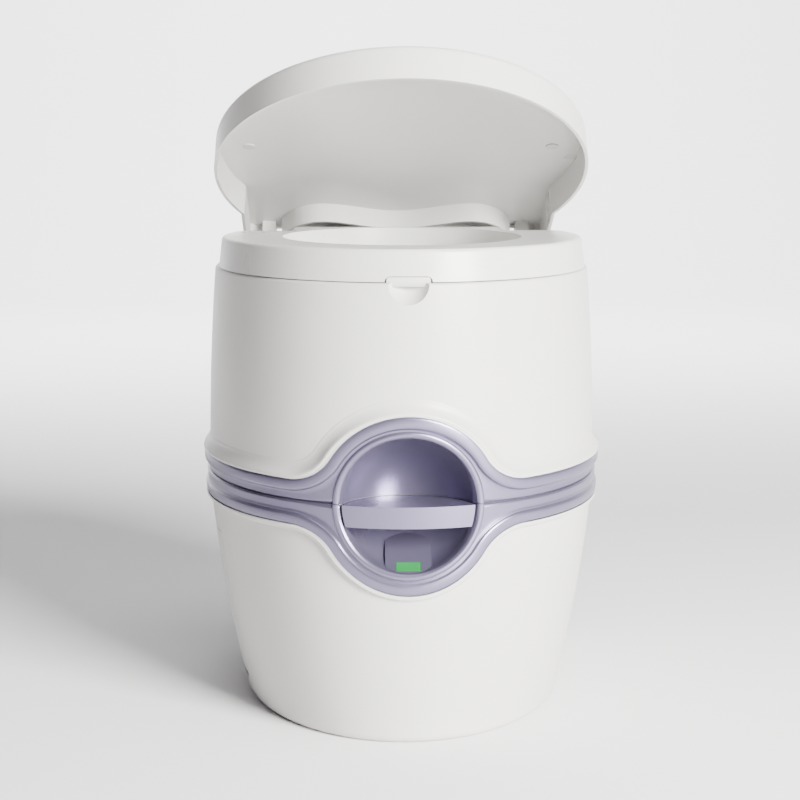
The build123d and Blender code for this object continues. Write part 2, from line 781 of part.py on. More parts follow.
def lid_outline(level, inset=0.0):
    """Oval with a straight-sided neck running back to the hinge."""
    with BuildSketch(Plane.XY.offset(level)) as outline:
        with BuildLine():
            EllipticalCenterArc((0, 0), lid_half_width - inset, lid_front - inset,
                                start_angle=180, arc_size=180)
            EllipticalCenterArc((0, 0), lid_half_width - inset, lid_rear_reach - inset,
                                start_angle=0, arc_size=180)
        make_face()
        with Locations((0, neck_rear / 2)):
            Rectangle(2 * (neck_half_width - inset), neck_rear - 2 * inset)
        with Locations((0, neck_rear - inset + far / 2)):
            Rectangle(far, far, mode=Mode.SUBTRACT)
        fillet(outline.vertices().group_by(Axis.Y)[-1], neck_corner - inset)
    return outline.sketch


def lid_block(low, high, grow=0.0):
    """Lid's form between two heights; its side leans in towards the top."""
    with BuildPart() as block:
        loft(sections=[lid_outline(low, -grow), lid_outline(high, lid_draft - grow)])
    return block.part


def seat_outline(level, inset):
    """The lid's oval set in, cut straight behind, with a tongue running back to the hinge."""
    with BuildSketch(Plane.XY.offset(level)) as outline:
        with BuildLine():
            EllipticalCenterArc((0, 0), lid_half_width - inset, lid_front - inset,
                                start_angle=180, arc_size=180)
            EllipticalCenterArc((0, 0), lid_half_width - inset, lid_rear_reach - inset,
                                start_angle=0, arc_size=180)
        make_face()
        with Locations((0, seat_shoulder_y - inset + far / 2)):
            Rectangle(far, far, mode=Mode.SUBTRACT)
        fillet(outline.vertices().group_by(Axis.Y)[-1], neck_corner - inset / 2)
        with Locations((0, seat_rear / 2)):
            Rectangle(2 * seat_tongue_half_width - 2 * inset, seat_rear - 2 * inset)
        fillet(outline.vertices().group_by(Axis.Y)[-1], neck_corner - inset / 2)
    return outline.sketch


with BuildPart() as seat_hollow:
    loft(sections=[
        seat_outline(seat_low, seat_inset + seat_wall),
        seat_outline(seat_high - seat_wall, seat_inset + seat_wall + seat_draft),
    ])
    with BuildSketch(Plane.XY.offset(seat_low)):
        with Locations((0, outlet_y)):
            Ellipse(seat_hole_half_width + seat_wall, seat_hole_half_length + seat_wall)
    extrude(amount=seat_thickness, mode=Mode.SUBTRACT)
    with BuildSketch(Plane.XY.offset(seat_bumper_top)):
        with Locations(*bumper_places):
            Circle(seat_bumper_radius)
    extrude(amount=seat_thickness, mode=Mode.SUBTRACT)

with BuildPart() as seat_ring:
    loft(sections=[
        seat_outline(seat_low, seat_inset),
        seat_outline(seat_high, seat_inset + seat_draft),
    ])
    fillet(seat_ring.faces().sort_by(Axis.Z)[-1].edges(), seat_round)
    with BuildSketch(Plane.XY.offset(seat_low)):
        with Locations((0, outlet_y)):
            Ellipse(seat_hole_half_width, seat_hole_half_length)
    extrude(amount=seat_thickness, mode=Mode.SUBTRACT)
    add(seat_hollow.part, mode=Mode.SUBTRACT)
    with BuildSketch(Plane.XZ.offset(seat_hole_half_length - outlet_y)):
        with Locations((0, seat_low)):
            RectangleRounded(2 * notch_half_width, 2 * notch_lift, notch_lift - snap)
    extrude(amount=far, mode=Mode.SUBTRACT)
    for side in both_sides(seat_knuckle):
        add(rod(hinge_y, hinge_z, side[0], side[1], knuckle_radius))
        add(box_between(side, (seat_rear - seat_round - seat_inset - seat_wall, hinge_y),
                        (hinge_z - knuckle_radius, hinge_z)))
        add(rod(hinge_y, hinge_z, side[0], side[1], pin_radius + running), mode=Mode.SUBTRACT)
write(seat_ring.part, "seat_ring")

with BuildPart() as seat_bumpers:
    with BuildSketch(Plane.XY.offset(flush_deck)):
        with Locations(*bumper_places):
            Circle(seat_bumper_radius)
    extrude(amount=seat_bumper_top - flush_deck)
write(seat_bumpers.part, "seat_bumpers")

with BuildPart() as rib:
    with BuildSketch(Plane.XY.offset(plate_under - rib_height)):
        with BuildLine() as wave:
            Spline(
                (-rib_half_width, rib_end_y), (-fitting_x, rib_crest_y), (0, rib_middle_y),
                (fitting_x, rib_crest_y), (rib_half_width, rib_end_y),
            )
        trace(line_width=rib_thickness)
    extrude(amount=rib_height)

with BuildPart() as lid_closed:
    add(lid_block(lid_rim, lid_top))
    fillet(lid_closed.faces().sort_by(Axis.Z)[-1].edges(), lid_round)
    add(lid_block(lid_rim, plate_under, -lid_wall), mode=Mode.SUBTRACT)
    add(rib.part)
    add(box_between((-far, far), (hinge_y - seat_wall - seat_wall, far), (0, hinge_z - seat_wall)),
        mode=Mode.SUBTRACT)
    for side in both_sides(post_span):
        add(box_between((side[0] - rest_gap - snap, side[1] + rest_gap + snap), (hinge_y, far),
                        (0, plate_under - rib_thickness)), mode=Mode.SUBTRACT)
    for side in both_sides(lid_knuckle):
        add(rod(hinge_y, hinge_z, side[0], side[1], knuckle_radius))
        add(box_between(side, (hinge_y - knuckle_radius, hinge_y + knuckle_radius), (hinge_z, plate_under)))
        add(rod(hinge_y, hinge_z, side[0], side[1], pin_radius + running), mode=Mode.SUBTRACT)

with BuildPart() as lid:
    add(lid_closed.part.rotate(hinge_axis, lid_angle))
write(lid.part, "lid")

with BuildPart() as lid_pads:
    with BuildSketch(Plane.XY.offset(plate_under)):
        with Locations(*bumper_places):
            Circle(seat_bumper_radius)
    extrude(amount=-lid_pad_height)

with BuildPart() as lid_bumpers:
    add(lid_pads.part.rotate(hinge_axis, lid_angle))
write(lid_bumpers.part, "lid_bumpers")

with BuildPart() as hinge_posts:
    for side in both_sides(post_span):
        add(rod(hinge_y, hinge_z, side[0], side[1], knuckle_radius))
        add(box_between(side, (hinge_y - knuckle_radius, hinge_y + knuckle_radius), (flush_deck, hinge_z)))
        add(rod(hinge_y, hinge_z, side[0], side[1], pin_radius + snap), mode=Mode.SUBTRACT)
write(hinge_posts.part, "hinge_posts")

with BuildPart() as hinge_pins:
    for side in both_sides((seat_knuckle[0] - pin_head_length, lid_knuckle[1] + rest_gap)):
        add(rod(hinge_y, hinge_z, side[0], side[1], pin_radius))
    for side in both_sides((lid_knuckle[1] + rest_gap, lid_knuckle[1] + rest_gap + pin_head_length)):
        add(rod(hinge_y, hinge_z, side[0], side[1], pin_head_radius))
write(hinge_pins.part, "hinge_pins")

# ------------------------------------------------------------------ pump and filler on the rear deck
barrel_low = flush_deck - pump_barrel_length
collar_high = shoulder + pump_barrel_wall
knob_top = shoulder + pump_knob_top
piston_low = barrel_low + pump_barrel_wall + pump_travel + 2 * piston_height

with BuildPart() as pump_barrel:
    add(post(-fitting_x, fitting_y, barrel_low, collar_high, pump_barrel_radius))
    add(post(-fitting_x, fitting_y, flush_deck, flush_deck + pump_barrel_wall / 2,
             pump_barrel_radius + pump_barrel_wall))
    add(post(-fitting_x, fitting_y, barrel_low + pump_barrel_wall, collar_high - pump_barrel_wall,
             pump_barrel_radius - pump_barrel_wall), mode=Mode.SUBTRACT)
    add(post(-fitting_x, fitting_y, shoulder - pump_barrel_wall, collar_high, pump_stem_radius + running),
        mode=Mode.SUBTRACT)
write(pump_barrel.part, "pump_barrel")

with BuildPart() as pump_knob:
    add(post(-fitting_x, fitting_y, knob_top - pump_knob_wall - pump_knob_skirt, knob_top, pump_knob_radius))
    fillet(pump_knob.edges().group_by(Axis.Z)[-1], pump_knob_wall / 2)
    add(post(-fitting_x, fitting_y, knob_top - pump_knob_wall - pump_knob_skirt,
             knob_top - pump_knob_wall, pump_knob_radius - pump_knob_wall), mode=Mode.SUBTRACT)
write(pump_knob.part, "pump_knob")

with BuildPart() as pump_piston:
    add(post(-fitting_x, fitting_y, piston_low, piston_low + piston_height,
             pump_barrel_radius - pump_barrel_wall - running))
    add(post(-fitting_x, fitting_y, piston_low, knob_top - pump_knob_wall, pump_stem_radius))
write(pump_piston.part, "pump_piston")

spring_low = barrel_low + pump_barrel_wall
with BuildPart() as pump_spring:
    with BuildLine():
        Helix(
            pitch=(piston_low - spring_low - spring_wire) / spring_turns,
            height=piston_low - spring_low - spring_wire,
            radius=spring_radius,
            center=(-fitting_x, fitting_y, spring_low + spring_wire / 2),
        )
    with BuildSketch(Plane.XZ.offset(-fitting_y)):
        with Locations((spring_radius - fitting_x, spring_low + spring_wire / 2)):
            Rectangle(2 * spring_wire, spring_wire)
    sweep(is_frenet=True)
write(pump_spring.part, "pump_spring")

with BuildPart() as filler_neck:
    add(post(fitting_x, fitting_y, flush_deck - 2 * shell, flush_deck + neck_height, neck_radius + neck_wall,
             neck_radius))
    add(post(fitting_x, fitting_y, flush_deck, flush_deck + neck_wall / 2, neck_radius + 2 * neck_wall,
             neck_radius))
write(filler_neck.part, "filler_neck")

with BuildPart() as fill_cap:
    add(post(fitting_x, fitting_y, flush_deck + neck_wall, flush_deck + cap_height, cap_radius))
    fillet(fill_cap.edges().group_by(Axis.Z)[-1], cap_wall / 2)
    add(post(fitting_x, fitting_y, flush_deck + neck_wall, flush_deck + cap_height - cap_wall,
             neck_radius + neck_wall + rest_gap), mode=Mode.SUBTRACT)
    add(box_between((fitting_x - neck_radius, fitting_x + neck_radius),
                    (fitting_y - cap_wall / 2, fitting_y + cap_wall / 2),
                    (flush_deck + cap_height - cap_wall, flush_deck + cap_height + 2 * cap_wall)))
write(fill_cap.part, "fill_cap")

# ------------------------------------------------------------------ pour-out spout and vent
def spout_form(radius):
    """Upright stem, quarter bend and level pipe as a solid of the given radius."""
    side = Plane(origin=(spout_x, spout_y, 0), x_dir=(1, 0, 0), z_dir=(0, -1, 0))
    with BuildPart() as form:
        with BuildLine(side):
            Line((0, deck - shell), (0, spout_axis - spout_bend))
            CenterArc((spout_bend, spout_axis - spout_bend), spout_bend, 180, -90)
            Line((spout_bend, spout_axis), (spout_reach, spout_axis))
        with BuildSketch(Plane.XY.offset(deck - shell)):
            with Locations((spout_x, spout_y)):
                Circle(radius)
        sweep()
    return form.part


mouth = spout_x + spout_reach
with BuildPart() as pour_spout:
    add(spout_form(spout_radius))
    add(spout_form(spout_radius - spout_wall), mode=Mode.SUBTRACT)
write(pour_spout.part, "pour_spout")

with BuildPart() as spout_cap:
    add(rod(spout_y, spout_axis, mouth - cap_grip, mouth + cap_seal_thickness + cap_skin,
            spout_radius + rest_gap + cap_skin))
    add(rod(spout_y, spout_axis, mouth - cap_grip, mouth + cap_seal_thickness, spout_radius + rest_gap),
        mode=Mode.SUBTRACT)
write(spout_cap.part, "spout_cap")
write(rod(spout_y, spout_axis, mouth, mouth + cap_seal_thickness, spout_radius, spout_radius - spout_wall),
      "cap_seal")
write(post(spout_x, spout_y, deck + collar_rise / 2, deck + collar_rise / 2 + seal_height,
           spout_radius + seal_height, spout_radius + rest_gap), "spout_seal")

vent_low = vent_boss_top + vent_stand - vent_button_height
with BuildPart() as vent_button:
    add(post(vent_x, vent_y, vent_low, vent_low + vent_button_height, vent_radius))
    fillet(vent_button.edges().group_by(Axis.Z)[-1], vent_stand / 2)
write(vent_button.part, "vent_button")
write(post(vent_x, vent_y, deck, vent_low, vent_radius - vent_travel, vent_radius - vent_stand),
      "vent_spring")

# ------------------------------------------------------------------ level indicator and float
with BuildPart() as indicator_panel:
    add(well_box(panel_half_width, -far, far, -panel_half_width, 0))
    add(scoop_body(-snap), mode=Mode.INTERSECT)
    add(well_box(well_half_width, well_low, -well_rear, -well_depth, -well_wall))
    add(well_box(window_half_width, window_low, window_high, -well_wall, far), mode=Mode.SUBTRACT)
    add(well_box(well_half_width - 2 * well_wall, window_low + well_wall / 2, -2 * well_rear, -far,
                 -well_wall),
        mode=Mode.SUBTRACT)
    add(well_box(arm_half_width + rest_gap, -2 * well_rear, far, -far, -well_depth / 2), mode=Mode.SUBTRACT)
    add(rod(float_pin_y, float_pin_z, -well_half_width, well_half_width, float_pin_radius + snap),
        mode=Mode.SUBTRACT)
write(indicator_panel.part, "indicator_panel")
write(well_box(window_half_width - snap, window_low + snap, window_high - snap, -well_wall, 0),
      "indicator_lens")
write(rod(float_pin_y, float_pin_z, -well_half_width, well_half_width, float_pin_radius), "float_pin")

with BuildPart() as float_arm:
    add(rod(float_pin_y, float_pin_z, -arm_half_width, arm_half_width, 2 * float_pin_radius))
    with BuildSketch(Plane.YZ):
        with BuildLine():
            Polyline(
                (float_pin_y, float_pin_z - float_pin_radius),
                (float_y - float_radius / 2, float_z - float_pin_radius),
                (float_y - float_radius / 2, float_z + float_pin_radius),
                (float_pin_y, float_pin_z + float_pin_radius),
                close=True,
            )
        make_face()
    extrude(amount=arm_half_width / 2, both=True)
    add(well_box(arm_half_width / 2, flag_low + arm_half_width, flag_low + flag_length + float_pin_radius,
                 -well_depth + arm_half_width, flag_top - flag_thickness))
    add(rod(float_pin_y, float_pin_z, -far, far, float_pin_radius + running), mode=Mode.SUBTRACT)
write(float_arm.part, "float_arm")

with BuildPart() as indicator_flag:
    add(well_box(flag_half_width, flag_low, flag_low + flag_length, flag_top - flag_thickness, flag_top))
write(indicator_flag.part, "indicator_flag")

with BuildPart() as float_piece:
    with BuildSketch(Plane.YZ.offset(-float_half_length)):
        with Locations((float_y, float_z)):
            Circle(float_radius)
    extrude(amount=2 * float_half_length)
    fillet(float_piece.edges(), float_radius / 3)
    add(box_between((-arm_half_width / 2, arm_half_width / 2), (-far, float_y - float_radius / 2),
                    (float_z - float_pin_radius, float_z + 2 * float_pin_radius)), mode=Mode.SUBTRACT)
write(float_piece.part, "float")

# ------------------------------------------------------------------ roll holder behind a hinged door
door_y = (door_front + door_gap, door_rear - door_gap)
arms = (
    (door_front + door_ledge + door_gap, door_front + door_ledge + door_gap + lug_thickness),
    (door_rear - door_ledge - door_gap - lug_thickness, door_rear - door_ledge - door_gap),
)
lugs = ((lug_front, lug_front + lug_thickness), arms[1])

with BuildPart() as roll_door:
    add(lower_block)
    add(body_block(waste_levels, -shell), mode=Mode.SUBTRACT)
    add(box_between((-far, 0), door_y, (door_low + door_foot_gap, door_high - door_gap)),
        mode=Mode.INTERSECT)
    for lug in lugs:
        add(rod_y(roll_pin_x, roll_pin_z, lug[0], lug[1], lug_radius))
        add(box_between((roll_pin_x - 2 * lug_radius, roll_pin_x), lug,
                        (roll_pin_z - lug_radius, roll_pin_z + lug_radius)))
    for arm in arms:
        with BuildSketch(Plane.XZ.offset(-arm[1])):
            with BuildLine():
                Polyline(
                    (-half_width, spindle_z - 2 * spindle_radius),
                    (spindle_x, spindle_z - spindle_radius),
                    (spindle_x, spindle_z + spindle_radius),
                    (-half_width, spindle_z + 2 * spindle_radius),
                    close=True,
                )
            make_face()
        extrude(amount=lug_thickness)
        add(rod_y(spindle_x, spindle_z, arm[0], arm[1], spindle_radius))
    add(lower_block, mode=Mode.INTERSECT)
    for lug in lugs:
        add(rod_y(roll_pin_x, roll_pin_z, lug[0], lug[1], roll_pin_radius + running), mode=Mode.SUBTRACT)
    for arm in arms:
        add(rod_y(spindle_x, spindle_z, arm[0], arm[1], spindle_radius / 2 + snap), mode=Mode.SUBTRACT)
    with BuildSketch(Plane.XY.offset(door_high - door_gap)):
        with Locations((door_pull_x, (door_front + door_rear) / 2)):
            Ellipse(pull_depth, pull_half_width)
    extrude(amount=-shell, mode=Mode.SUBTRACT)
write(roll_door.part, "roll_door")

with BuildPart() as roll_spindle:
    add(rod_y(spindle_x, spindle_z, arms[0][1] + rest_gap, arms[1][0] - rest_gap, spindle_radius))
    add(rod_y(spindle_x, spindle_z, arms[0][0], arms[1][1], spindle_radius / 2))
write(roll_spindle.part, "roll_spindle")
write(rod_y(roll_pin_x, roll_pin_z, roll_boss[1] - 2 * roll_pin_bury + snap,
            door_rear + roll_pin_bury - snap, roll_pin_radius), "roll_pin")

# ------------------------------------------------------------------ latch between the sections
ears = (
    (latch_span[0] - ear_width, latch_span[0]),
    (latch_span[1], latch_span[1] + ear_width),
)
latch_pin_y = half_depth - latch_barrel - rest_gap
latch_plate = (latch_pin_y - latch_thickness / 2, latch_pin_y + latch_thickness / 2)

with BuildPart() as latch_ears:
    for ear in ears:
        add(box_between(ear, (half_depth - upper_ridge, latch_pin_y),
                        (latch_pin_z - 2 * latch_barrel, latch_pin_z + 2 * latch_barrel)))
        add(rod(latch_pin_y, latch_pin_z, ear[0], ear[1], latch_barrel))
        add(rod(latch_pin_y, latch_pin_z, ear[0], ear[1], latch_pin_radius + snap), mode=Mode.SUBTRACT)
write(latch_ears.part, "latch_ears")
write(rod(latch_pin_y, latch_pin_z, ears[0][0], ears[1][1], latch_pin_radius), "latch_pin")

with BuildPart() as latch_lever:
    add(box_between((latch_span[0] + rest_gap, latch_span[1] - rest_gap), latch_plate,
                    (latch_low, latch_pin_z)))
    add(rod(latch_pin_y, latch_pin_z, latch_span[0] + rest_gap, latch_span[1] - rest_gap, latch_barrel))
    add(rod(latch_pin_y, latch_pin_z, latch_span[0], latch_span[1], latch_pin_radius + running),
        mode=Mode.SUBTRACT)
    add(box_between((latch_span[0] + latch_frame - rest_gap, latch_span[1] - latch_frame + rest_gap),
                    (0, far), (catch_low - rest_gap, catch_low + catch_height + rest_gap)),
        mode=Mode.SUBTRACT)
write(latch_lever.part, "latch_lever")
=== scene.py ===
import json
import math

import bmesh
import bpy
from mathutils import Matrix, Vector


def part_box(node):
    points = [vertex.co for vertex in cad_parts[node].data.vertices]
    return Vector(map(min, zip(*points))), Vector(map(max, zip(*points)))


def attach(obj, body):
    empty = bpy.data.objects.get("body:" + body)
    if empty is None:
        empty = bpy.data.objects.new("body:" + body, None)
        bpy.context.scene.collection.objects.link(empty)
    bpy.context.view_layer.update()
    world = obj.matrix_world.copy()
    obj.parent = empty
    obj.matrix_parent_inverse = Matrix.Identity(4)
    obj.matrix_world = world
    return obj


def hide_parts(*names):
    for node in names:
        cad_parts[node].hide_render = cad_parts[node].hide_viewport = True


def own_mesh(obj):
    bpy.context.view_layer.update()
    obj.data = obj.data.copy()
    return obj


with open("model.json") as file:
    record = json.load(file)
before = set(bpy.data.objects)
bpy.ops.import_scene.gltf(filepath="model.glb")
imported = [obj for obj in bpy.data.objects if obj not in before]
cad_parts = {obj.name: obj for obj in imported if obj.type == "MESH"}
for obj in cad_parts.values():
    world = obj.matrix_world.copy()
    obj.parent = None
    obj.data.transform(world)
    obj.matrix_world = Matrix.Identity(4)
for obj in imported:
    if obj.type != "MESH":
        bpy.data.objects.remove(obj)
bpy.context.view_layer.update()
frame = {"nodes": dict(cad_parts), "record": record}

# Portable camp toilet: a flush section with bowl, seat and lid on a holding tank.
# Metres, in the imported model's frame: +Z up, the front faces -Y.


# ---------------------------------------------------------------- small helpers
def hex_linear(code):
    """sRGB hex to the linear colour that a shader socket takes."""
    parts = [int(code[i:i + 2], 16) / 255 for i in (1, 3, 5)]
    linear = [c / 12.92 if c <= 0.04045 else ((c + 0.055) / 1.055) ** 2.4 for c in parts]
    return (*linear, 1.0)


def add_node(tree, kind, links=None, values=None, **settings):
    """One shader or geometry node, with its settings, its values and what feeds it."""
    node = tree.nodes.new(kind)
    for key, value in settings.items():
        setattr(node, key, value)
    for socket, value in (values or {}).items():
        node.inputs[socket].default_value = value
    for socket, (source, output) in (links or {}).items():
        tree.links.new(source.outputs[output], node.inputs[socket])
    return node


def moulded_plastic(name, colour, shade, roughness, grain_mm, grain_height_mm, mottle, specular=0.5,
                    metallic=0.0, coat=0.0, coat_roughness=0.2):
    """Moulded plastic: a base colour with faint mottling and the grain the mould leaves."""
    material = bpy.data.materials.new(name)
    material.use_nodes = True
    tree = material.node_tree
    tree.nodes.clear()
    place = add_node(tree, "ShaderNodeTexCoord")
    grain = add_node(tree, "ShaderNodeTexNoise", {"Vector": (place, "Object")},
                     {"Scale": 1000 / grain_mm, "Detail": 3.0, "Roughness": 0.55})
    drift = add_node(tree, "ShaderNodeTexNoise", {"Vector": (place, "Object")},
                     {"Scale": 1000 / 90.0, "Detail": 2.0, "Roughness": 0.5})
    tint = add_node(tree, "ShaderNodeMapRange", {"Value": (drift, "Fac")},
                    {"From Min": 0.3, "From Max": 0.7, "To Min": 0.0, "To Max": mottle})
    paint = add_node(tree, "ShaderNodeMix", {"Factor": (tint, "Result")}, data_type="RGBA")
    paint.inputs[6].default_value = hex_linear(colour)
    paint.inputs[7].default_value = hex_linear(shade)
    rough = add_node(tree, "ShaderNodeMapRange", {"Value": (drift, "Fac")},
                     {"From Min": 0.3, "From Max": 0.7, "To Min": roughness - 0.03,
                      "To Max": roughness + 0.03})
    bump = add_node(tree, "ShaderNodeBump", {"Height": (grain, "Fac")},
                    {"Strength": 0.35, "Distance": grain_height_mm / 1000})
    skin = add_node(tree, "ShaderNodeBsdfPrincipled",
                    {"Roughness": (rough, "Result"), "Normal": (bump, "Normal")},
                    {"IOR": 1.5, "Metallic": metallic, "Specular IOR Level": specular,
                     "Coat Weight": coat, "Coat Roughness": coat_roughness})
    tree.links.new(paint.outputs[2], skin.inputs["Base Color"])
    add_node(tree, "ShaderNodeOutputMaterial", {"Surface": (skin, "BSDF")})
    return material


# Blow-moulded polyethylene in warm white: a soft satin skin with faint orange peel about 4 mm wide.
tank_white = moulded_plastic("polyethylene_blow_moulded_white", "#cbcac7", "#c4c3c2", 0.36, 4.0, 0.05, 0.35)
# Injection-moulded polypropylene in the same white: smoother and a little glossier than the tanks.
seat_white = moulded_plastic("polypropylene_injection_moulded_white", "#cccbc9", "#c5c4c3", 0.3, 1.6,
                             0.015, 0.25)
# Polypropylene with silver-lavender pigment, spark-eroded mould: a fine satin that greys towards the shade.
trim_lavender = moulded_plastic("polypropylene_pigmented_satin_lavender", "#7b768e", "#706b84", 0.3, 0.9,
                                0.03, 0.4, metallic=0.75)
# Polished mould for the bowl: even gloss that water runs off.
bowl_gloss = moulded_plastic("polypropylene_polished_mould_white", "#f3f2f0", "#eceae9", 0.16, 3.0, 0.01, 0.2)
# Unseen working parts in mid grey, straight from a plain mould.
works_grey = moulded_plastic("acetal_injection_moulded_grey", "#8d8b95", "#83818c", 0.42, 1.2, 0.02, 0.3)
# Dark grey pour-out spout: plain mould, slightly duller than the trim.
spout_grey = moulded_plastic("polyethylene_moulded_dark_grey", "#5b5863", "#524f5a", 0.4, 1.2, 0.03, 0.3)
# Moulded nitrile rubber: near black, dull, a trace of bloom.
seal_rubber = moulded_plastic("nitrile_rubber_moulded", "#1d1c20", "#2a292d", 0.7, 0.8, 0.02, 0.5)
# Drawn stainless wire and pins: bright metal with a fine even grain.
pin_steel = moulded_plastic("stainless_steel_drawn", "#b9b9bd", "#a9a9ae", 0.28, 0.4, 0.01, 0.3, metallic=1.0)
# Expanded foam for the float: off-white beads about 2 mm wide.
float_foam = moulded_plastic("polyethylene_foam_moulded", "#cfc9b6", "#c3bca7", 0.75, 2.0, 0.15, 0.5)
# Level flag in leaf green, glossy so that it reads through the window.
flag_green = moulded_plastic("polystyrene_moulded_green", "#2c8a3e", "#257a35", 0.25, 1.5, 0.01, 0.2)
# Glossy green pane: opaque, it stands in for a clear window with the green flag close behind it.
window_clear = moulded_plastic("acrylic_moulded_clear_green", "#1f7a3c", "#196a33", 0.12, 2.0, 0.005, 0.3,
                               coat=0.6, coat_roughness=0.05)

finishes = {
    "body_white": tank_white,
    "trim_lavender": trim_lavender,
    "inner_grey": works_grey,
    "bowl_white": bowl_gloss,
    "seal_rubber": seal_rubber,
    "steel": pin_steel,
    "pin_plastic": seat_white,
    "lens_clear": window_clear,
    "flag_green": flag_green,
    "float_foam": float_foam,
    "spout_grey": spout_grey,
}
# Soft white pads under the lid: dull, even elastomer.
pad_white = moulded_plastic("elastomer_moulded_white", "#bdbcbb", "#b5b4b3", 0.55, 1.0, 0.01, 0.3)
moulded_apart = {
    "seat_ring": seat_white,
    "lid": seat_white,
    "roll_door": tank_white,
    "lid_bumpers": pad_white,
}
for part in frame["record"]["subparts"]:
    node = frame["nodes"][part["node"]]
    finish = moulded_apart.get(part["node"], finishes[part["material_slot"]])
    if not node.material_slots:
        node.data.materials.append(finish)
    for place in node.material_slots:
        place.material = finish

# ---------------------------------------------------------------- the body's own surface
MM = 0.001
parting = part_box("waste_tank")[1].z
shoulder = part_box("flush_tank")[1].z
band_low_edge = 0.196
band_high_edge = 0.2375
disc_radius = 0.0805
disc_blend = 0.044
scoop_radius = 0.061
scoop_depth = 0.062
scoop_centre = 0.2234
widest_y = 0.020
rear_narrowing = 0.022
rear_corner = 0.062
rear_start = 0.15
# rear recesses that the trim stops at: the spout's bay and the latch's room
spout_gap = (-0.1495, 0.025)
latch_gap = (0.0557, 0.1043)

# heights with the half width and the reach of the plan there
upper_levels = ((parting, 0.1879, 0.2189), (0.310, 0.1867, 0.2189), (shoulder, 0.1809, 0.2164))
lower_levels = ((0.0, 0.1527, 0.2114), (0.109, 0.1757, 0.2174), (parting, 0.1897, 0.2207))


def plan_size(levels, z):
    """Half width and reach of the plan at a height, through the three levels."""
    (z0, a0, b0), (z1, a1, b1), (z2, a2, b2) = levels
    k0 = (z - z1) * (z - z2) / ((z0 - z1) * (z0 - z2))
    k1 = (z - z0) * (z - z2) / ((z1 - z0) * (z1 - z2))
    k2 = (z - z0) * (z - z1) / ((z2 - z0) * (z2 - z1))
    return a0 * k0 + a1 * k1 + a2 * k2, b0 * k0 + b1 * k1 + b2 * k2


def plan_point(wide, reach, t):
    """Point of the plan's right half: 0 front middle, 1 widest, 2 corner, 3 back, 4 rear middle."""
    if t <= 1.0:
        a = t * math.pi / 2
        return wide * math.sin(a), widest_y - (reach + widest_y) * math.cos(a)
    radius = ((reach - widest_y) ** 2 + rear_narrowing ** 2) / (2 * rear_narrowing)
    middle_x = wide - radius
    corner_y = reach - rear_corner
    corner_x = middle_x + math.sqrt((radius - rear_corner) ** 2 - (corner_y - widest_y) ** 2)
    lean = math.atan2(corner_y - widest_y, corner_x - middle_x)
    if t <= 2.0:
        a = lean * (t - 1.0)
        return middle_x + radius * math.cos(a), widest_y + radius * math.sin(a)
    if t <= 3.0:
        a = lean + (math.pi / 2 - lean) * (t - 2.0)
        return corner_x + rear_corner * math.cos(a), corner_y + rear_corner * math.sin(a)
    return corner_x * (4.0 - t), reach


def body_point(levels, t, z, out=0.0):
    """Point of the body's side, moved outwards in plan."""
    wide, reach = plan_size(levels, z)
    x, y = plan_point(wide, reach, t)
    step = 1e-4
    t0, t1 = max(t - step, 0.0), min(t + step, 4.0)
    xa, ya = plan_point(wide, reach, t0)
    xb, yb = plan_point(wide, reach, t1)
    along = Vector((xb - xa, yb - ya)).normalized()
    return Vector((x + along.y * out, y - along.x * out, z))


def front_point(levels, x, z, out=0.0):
    """The same, for a point seen from the front."""
    wide, _ = plan_size(levels, z)
    return body_point(levels, math.asin(max(-1.0, min(1.0, x / wide))) * 2 / math.pi, z, out)


def signed_front_point(levels, x, z, out=0.0):
    """Front point on either side of the middle."""
    point = front_point(levels, abs(x), z, out)
    if x < 0:
        point.x = -point.x
    return point


def cut_at_rear(shape, low_x, high_x):
    """Take out what crosses a recess in the rear, and close both cut ends."""
    for limit in (low_x, high_x):
        rear = [f for f in shape.faces if min(v.co.y for v in f.verts) > rear_start]
        edges = dict.fromkeys(e for f in rear for e in f.edges)
        corners = dict.fromkeys(v for f in rear for v in f.verts)
        parts = rear + list(edges) + list(corners)
        bmesh.ops.bisect_plane(shape, geom=parts, dist=1e-6, plane_co=(limit, 0, 0), plane_no=(1, 0, 0))
    gone = [f for f in shape.faces if f.calc_center_median().y > rear_start
            and low_x < f.calc_center_median().x < high_x]
    bmesh.ops.delete(shape, geom=gone, context="FACES")
    for limit in (low_x, high_x):
        ring = [e for e in shape.edges if e.is_boundary
                and all(abs(v.co.x - limit) < 1e-5 and v.co.y > rear_start for v in e.verts)]
        if not ring:
            continue
        on_ring = dict.fromkeys(v for e in ring for v in e.verts)
        ends = [v for v in on_ring if sum(e in v.link_edges for e in ring) == 1]
        chain = [ends[0]]
        while len(chain) <= len(ring):
            step = [e.other_vert(chain[-1]) for e in ring if chain[-1] in e.verts
                    and e.other_vert(chain[-1]) not in chain]
            if not step:
                break
            chain.append(step[0])
        cap = shape.faces.new(chain)
        cap.normal_update()
        outward = 1 if limit == low_x else -1
        if cap.normal.x * outward < 0:
            cap.normal_flip()


